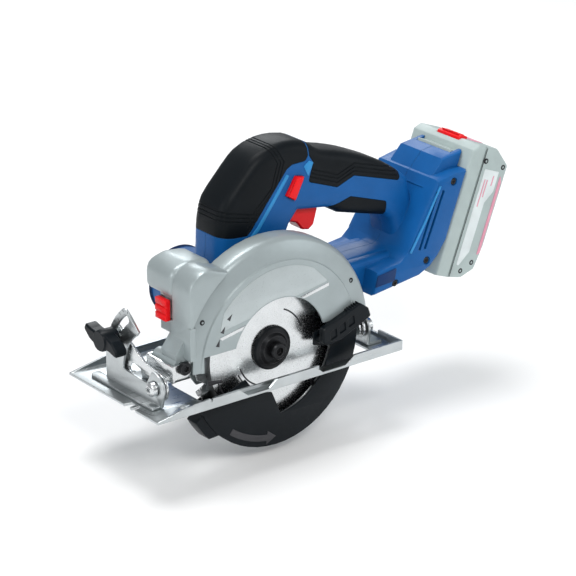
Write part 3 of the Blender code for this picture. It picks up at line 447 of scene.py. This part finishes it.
def grips():
    """The grooves moulded in the two handle grips."""
    rings = [((-43.6 - k * 0.4, 132 - 3.2 * k), (4, 119.8 - 3.2 * k)) for k in range(3)]
    bands = []
    for shift in (0, 3.0, 6.0):
        points = [(17.8 - shift, 174.7), (28.6 - shift, 156), (23.2 - shift, 137.8),
                  (-5.4, 107.7 + shift * 1.5)]
        bands += chain(points)
    carved("front_pommel", "tool", grooves=rings + bands)
    base = [(53.5, 139.2), (79.2, 129.4), (95.4, 135.2), (137.4, 122.3)]
    chevrons = [piece for k in range(3) for piece in chain([(x, z + 3 * k) for x, z in base])]
    carved("top_grip", "tool", grooves=chevrons)


def shell():
    """Recesses for screws, and panels on the blue housing in lit and shaded copies of its blue: painted
    highlights and painted shade.
    """
    sides = (("shell", "housing_left", SHELL_NEAR, -1, ((152, 55.5), (178, 114), (121, 44))),
             ("far", "housing_right", SHELL_FAR, 1, ((152, 55.5), (178, 114), (160, 84), (121, 44))))
    for side, node, y, out, places in sides:
        cutters = []
        low, high = sorted((y + 3 * out, y - 1.4 * out))
        for k, (x, z) in enumerate(places):
            hole = [(0.01, low), (3.3, low), (3.3, high), (0.01, high)]
            cutters.append(turned("hole", hole, (x, z), steps=28))
            screw("%s_screw_%d" % (side, k), x, z, y - 0.45 * out, out, "tool")
        carved(node, "tool", cutters)
    # Painted highlight: a lit copy of the housing blue on the handle's near side.
    tab = rounded([(47.1, 148.7), (51.9, 152.3), (56, 150.2), (51.2, 139.8)], 0.8)
    plate("tab", [tab[::-1]], HANDLE_NEAR - 0.5, HANDLE_NEAR + 0.2, "light_blue", "tool", 0.2)
    # Painted shade: a darker copy of the housing blue on the beam's near side.
    panel = rounded([(101, 45), (103.5, 54), (122, 56.6), (120, 46.5)], 1.2)
    plate("beam_panel", [panel[::-1]], SHELL_NEAR - 0.4, SHELL_NEAR + 0.1, "dark_blue", "tool", 0.15)
    # Painted highlight: a strip of a lit copy of the housing blue along the stem.
    facet = rounded([(-3, 104.2), (3.5, 110), (31, 146), (33.5, 144.2), (6, 108), (0, 102.6)], 0.8)
    plate("stem_facet", [facet], HANDLE_NEAR - 0.4, HANDLE_NEAR + 0.3, "light_blue", "tool", 0.2)
    # Painted highlight: thin strips of a lit copy of the housing blue along the battery foot.
    line = [(134.6, 65.5), (150.6, 90.4), (163.6, 113.4), (165.4, 113), (152.6, 89.8), (136.6, 64.6)]
    for k, (y, out) in enumerate(((SHELL_NEAR, -1), (SHELL_FAR, 1))):
        low, high = sorted((y - 0.2 * out, y + 0.35 * out))
        plate("foot_rib_%d" % k, [line], low, high, "light_blue", "tool", 0.1)


def guard():
    """The near face's raised panel, paler than the casting as a painted highlight, and its rib, a bright
    steel strip as a painted highlight, direction marks and screws.
    """
    face = GUARD_FACE
    low_left, low_right = polar(ARBOR, 62, 152), polar(ARBOR, 64, 46)
    band = [low_left] + arc(ARBOR, 67, 140, 62, 16) + [low_right]
    hole = circle(ARBOR, 43.4, 72)
    band = rounded(band[::-1], 1.2, 2)
    # Painted highlight: the raised band is a paler copy of the cast paint.
    panel = prism("guard_panel", [band], face - 0.2, face + 0.2, "Y", "pale_cast", 0.1, 1)
    on(cut(panel, prism("hole", [hole], face - 3, face + 3)), "tool")
    # Painted highlight: a bright steel strip along the panel's lower edge.
    wedge = [polar(ARBOR, 61, 156), polar(ARBOR, 63.5, 44.5), polar(ARBOR, 61.6, 42.5),
             polar(ARBOR, 57.5, 157)]
    rib = prism("guard_rib", [wedge], face - 0.3, face + 0.2, "Y", "bright_steel", 0.14, 1)
    on(cut(rib, prism("hole", [hole], face - 3, face + 3)), "tool")
    for k, angle in enumerate((140, 150, 160)):
        centre = polar(ARBOR, 60, angle)
        turn = angle - 90
        mark = [polar(centre, 3.6, turn), polar(centre, 2.6, turn + 140), polar(centre, 2.6, turn - 140)]
        plate("guard_mark_%d" % k, [mark], face - 0.3, face + 0.1, "dark_print", "tool", 0.08)
    for k, angle in enumerate((30, 150)):
        x, z = polar(ARBOR, 79, angle)
        screw("guard_screw_%d" % k, x, z, -44.6, -1, "tool", 2.1)
    arrow = arc(ARBOR, 71.5, -128, -98, 12)
    arrow += [polar(ARBOR, 74.5, -98), polar(ARBOR, 69, -91), polar(ARBOR, 63.5, -98)]
    arrow += arc(ARBOR, 66.5, -98, -128, 12)
    plate("guard_arrow", [arrow], -42.9, -42.5, "dark_print", "guard", 0.1)


def blade():
    """The dark toothed ring, carbide tips, expansion slots, fine rings and the flange's rim."""
    step = 360 / TEETH
    outline, tips, slots, prints = [], [], [], []
    for k in range(TEETH):
        start = 90 + k * step
        outline += [polar(ARBOR, 69.6, start + 0.3), polar(ARBOR, 67, start + 0.52 * step),
                    polar(ARBOR, 61.2, start + 0.86 * step)]
        tips.append([polar(ARBOR, 70.4, start + 0.1), polar(ARBOR, 69.9, start + 3.4),
                     polar(ARBOR, 66.4, start + 2.6), polar(ARBOR, 66.2, start - 0.5)])
    hole = circle(ARBOR, 55.8, 72)
    for side, low in (("near", -35.17), ("far", -33.97)):
        plate("tooth_ring_" + side, [outline, hole], low, low + 0.14, "blade_dark", "blade", 0.03)
    plate("carbide_tips", tips, -35.5, -33.5, "carbide", "blade", 0.12)
    for k in range(6):
        start = 12 + 60 * k
        slots.append(arc(ARBOR, 59, start, start + 4, 3) + arc(ARBOR, 47, start + 9, start + 6, 3))
    for side, low in (("near", -35.19), ("far", -34.04)):
        plate("expansion_slots_" + side, slots, low, low + 0.16, "dark_print", "blade", 0.02)
    for r, start, end in ((30, 200, 246), (33.5, 206, 240), (51, 196, 228), (30, 20, 66), (51, 100, 136)):
        prints.append(arc(ARBOR, r + 0.6, start, end, 12) + arc(ARBOR, r - 0.6, end, start, 12))
    plate("blade_rings", prints, -35.12, -35.0, "dark_print", "blade", 0.02)
    rim = [(15.2, -38.0), (16.4, -37.6), (17, -36.8), (17, -35.9), (15.2, -35.9)]
    on(turned("flange_ring", rim, ARBOR, "Y", "black_rubber", steps=64), "blade")


def lever():
    """Three recesses on the guard lever's near side and ribs on its thumb end."""
    cutters = []
    for k in range(3):
        x, z = 45.5 + 8.4 * k, 27.4 + 3.2 * k
        hollow = rounded([(x - 2.6, z - 4.6), (x + 3.6, z - 2.4), (x + 2.6, z + 4.6), (x - 3.4, z + 2.4)], 1)
        cutters.append(prism("hollow", [hollow], -54.5, -52.0))
    carved("guard_lever", "guard", cutters)
    for k in range(6):
        x, z = 60.0 + 2.0 * k, 42.4 + 0.72 * k
        bar = [(x - 0.5, z - 0.8), (x + 0.5, z - 0.45), (x + 0.1, z + 0.9), (x - 0.9, z + 0.55)]
        bar = rounded(bar, 0.2, 2)
        on(prism("lever_rib_%d" % k, [bar], -52.2, -47.9, "Y", "black_plastic", 0.15, 1), "guard")


def battery():
    """Side panels, accents and screws of the battery, and the ribs of its button."""
    panel = ((17.5, -18), (20, -18), (27, -6), (27, 34), (33, 44), (33, 60), (17.5, 60))
    accent = ((35.6, -8), (38.4, -5), (38.4, 52), (35.6, 58))
    bars = ((20, 52, 30), (22.6, 52, 38), (28, 56, 48))
    for side, y, out in (("near", PACK_NEAR, -1), ("far", PACK_FAR, 1)):
        low, high = sorted((y - 0.2 * out, y + 0.45 * out))
        loop = rounded([pack_point(*corner) for corner in panel], 1.0)
        plate("pack_panel_" + side, [loop[::-1]], low, high, "paper", "battery", 0.2)
        loop = rounded([pack_point(*corner) for corner in accent], 0.8)
        plate("pack_accent_" + side, [loop[::-1]], low, high, "pink", "battery", 0.2)
        loops = [[pack_point(w, top), pack_point(w + 1.1, top), pack_point(w + 1.1, end), pack_point(w, end)]
                 for w, top, end in bars]
        low, high = sorted((y + 0.35 * out, y + 0.6 * out))
        plate("pack_bars_" + side, loops, low, high, "pink", "battery", 0.06)
    for k in range(4):
        w = 5.2 + 1.9 * k
        loop = [pack_point(w, 78.7), pack_point(w + 0.9, 78.7), pack_point(w + 0.9, 79.5),
                pack_point(w, 79.5)]
        plate("button_rib_%d" % k, [loop[::-1]], -6.5, 13.5, "red", "battery_button", 0.15)
    top = [pack_point(*corner) for corner in ((16, 76.8), (25, 76.8), (25, 77.4), (16, 77.4))]
    plate("pack_top_accent", [top[::-1]], -15, 22, "pink", "battery", 0.1)
    seam = [pack_point(*corner) for corner in ((13.9, -28), (14.4, -28), (14.4, 76), (13.9, 76))]
    for y in (PACK_NEAR - 0.05, PACK_FAR - 0.15):
        plate("pack_seam", [seam[::-1]], y, y + 0.2, "dark_print", "battery", 0.03)
    for k, place in enumerate(((24, -22), (33, -14), (16.6, 66), (36, 64))):
        x, z = pack_point(*place)
        screw("pack_screw_%d" % k, x, z, PACK_NEAR - 0.3, -1, "battery", 2.2)
        screw("pack_screw_far_%d" % k, x, z, PACK_FAR + 0.3, 1, "battery", 2.2)


def motor():
    """Plain printed blocks on the label, and the bands, darker as painted shade, and end screws of the motor
    shell.
    """
    for k, (angle, span, low, high) in enumerate(((150, 10, 34, 58), (140, 3, 34, 48), (134, 3, 34, 54),
                                                  (128, 3, 34, 44), (120, 7, 34, 41), (120, 7, 44, 51))):
        profile = [(28.4, low), (28.62, low), (28.62, high), (28.4, high)]
        bar = turned("label_print_%d" % k, profile, MOTOR, "Y", "white_print", angle - span / 2, span, 6)
        on(bar, "tool")
    # Painted shade: three raised bands in a darker copy of the housing blue.
    for k in range(3):
        y = 66.3 + 1.6 * k
        profile = [(26.6, y), (27.9, y + 0.1), (27.9, y + 0.5), (26.6, y + 0.6)]
        on(turned("motor_band_%d" % k, profile, MOTOR, "Y", "dark_blue", steps=96), "tool")
    for k in range(3):
        x, z = polar(MOTOR, 21.5, 30 + 120 * k)
        screw("motor_screw_%d" % k, x, z, 73.2, 1, "tool", 2.3)


def sole():
    """Scale marks on the sole's front edge and on the bevel quadrant."""
    for k in range(9):
        y = -44 + 2.5 * k
        end = -117 + (3.4 if k % 4 else 5.2)
        loop = [(-117, y), (end, y), (end, y + 0.35), (-117, y + 0.35)]
        plate("sole_mark_%d" % k, [loop], 1.95, 2.1, "dark_print", "base", 0.03, "Z")
    for k in range(10):
        angle = 12 + 5.0 * k
        a = polar(BEVEL_PIVOT, 60.4, angle)
        b = polar(BEVEL_PIVOT, 62.2 if k % 3 else 57.5, angle)
        across = Vector((b[1] - a[1], a[0] - b[0])).normalized() * 0.2
        loop = [(a[0] - across.x, a[1] - across.y), (b[0] - across.x, b[1] - across.y),
                (b[0] + across.x, b[1] + across.y), (a[0] + across.x, a[1] + across.y)]
        plate("tilt_mark_%d" % k, [loop], -103.12, -102.98, "dark_print", "base", 0.03, "X")


grips()
shell()
guard()
blade()
lever()
battery()
motor()
sole()


# ------------------------------------------------------------------ studio

def studio():
    bpy.ops.mesh.primitive_plane_add(size=6, location=(0, 0, FLOOR_Z))
    floor = bpy.context.object
    floor.name = "studio_floor"
    look = bpy.data.materials.new("studio_floor")
    look.use_nodes = True
    shader = look.node_tree.nodes["Principled BSDF"]
    shader.inputs["Base Color"].default_value = (0.93, 0.93, 0.93, 1)
    shader.inputs["Roughness"].default_value = 0.9
    floor.data.materials.append(look)
    world = bpy.data.worlds.new("studio")
    bpy.context.scene.world = world
    world.use_nodes = True
    sky = world.node_tree.nodes["Background"]
    sky.inputs["Color"].default_value = (0.96, 0.98, 1.0, 1)
    sky.inputs["Strength"].default_value = 0.40
    rows = (
        ("key", (-0.5, -1.5, 1.4), 0.7, 17, (1, 0.99, 0.97)),
        ("fill", (1.4, -1.2, 0.6), 1.0, 5, (0.95, 0.98, 1)),
        ("top", (0.0, 0.3, 1.7), 0.8, 15, (1, 1, 1)),
        ("side", (-1.6, -0.1, 0.7), 0.8, 6, (1, 1, 1)),
        ("rim", (0.9, 1.3, 1.0), 0.8, 8, (0.95, 0.98, 1)),
    )
    for name, place, size, power, colour in rows:
        data = bpy.data.lights.new(name, "AREA")
        data.shape = "DISK"
        data.size = size
        data.energy = power
        data.color = colour
        lamp = bpy.data.objects.new(name, data)
        bpy.context.scene.collection.objects.link(lamp)
        lamp.location = place
        aim = Vector((0.03, -0.02, 0.06)) - Vector(place)
        lamp.rotation_euler = aim.to_track_quat("-Z", "Y").to_euler()
    azimuth, elevation = radians(CAMERA_AZIMUTH), radians(CAMERA_ELEVATION)
    toward = Vector((sin(azimuth) * cos(elevation), -cos(azimuth) * cos(elevation), sin(elevation)))
    data = bpy.data.cameras.new("camera")
    data.sensor_width = 36
    data.lens = CAMERA_LENS
    camera = bpy.data.objects.new("camera", data)
    bpy.context.scene.collection.objects.link(camera)
    camera.location = Vector(CAMERA_TARGET) + toward * CAMERA_DISTANCE
    camera.rotation_euler = (-toward).to_track_quat("-Z", "Y").to_euler()
    bpy.context.scene.camera = camera
    bpy.context.scene.view_settings.view_transform = "Standard"


studio()
